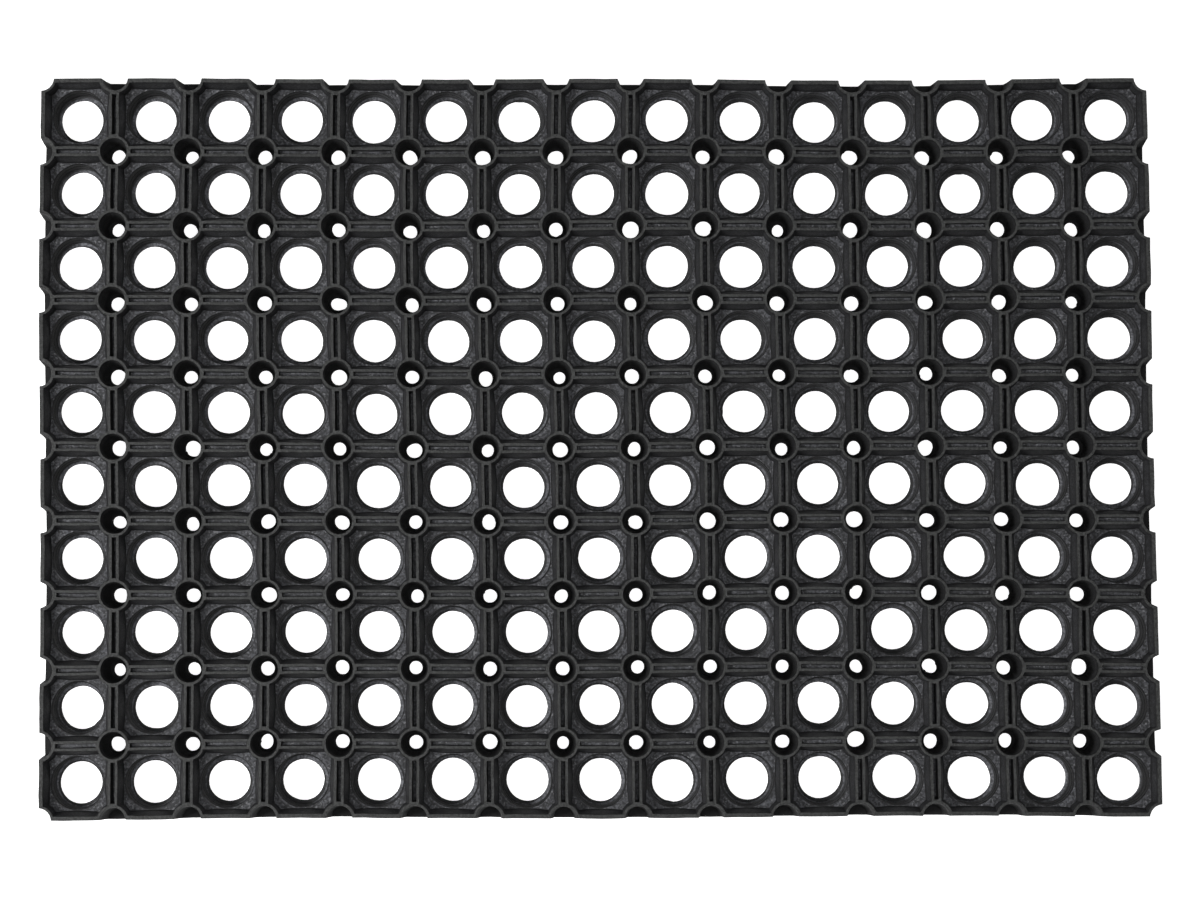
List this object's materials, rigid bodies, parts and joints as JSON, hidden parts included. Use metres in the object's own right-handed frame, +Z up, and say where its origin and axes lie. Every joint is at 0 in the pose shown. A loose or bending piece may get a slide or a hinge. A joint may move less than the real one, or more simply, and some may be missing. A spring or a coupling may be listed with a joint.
{
  "type": "ring door mat",
  "caption": "Rectangular rubber ring door mat: a grid of open cells with round through holes, hollow posts with drain holes at the crossings, and cut half posts along the outline.",
  "frame": {"origin": "centre of the flat underside, at floor level", "axes": "+X along the long side, +Y along the short side, +Z up through the open cells"},
  "size_m": [0.6, 0.4, 0.022],
  "materials": {
    "black_rubber": "matt compression-moulded rubber, black with a faint blue-grey dusty bloom on the cell floors and slightly paler worn rib tops"
  },
  "bodies": {
    "root": {"mat_moulding": "black_rubber"}
  },
  "joints": []
}
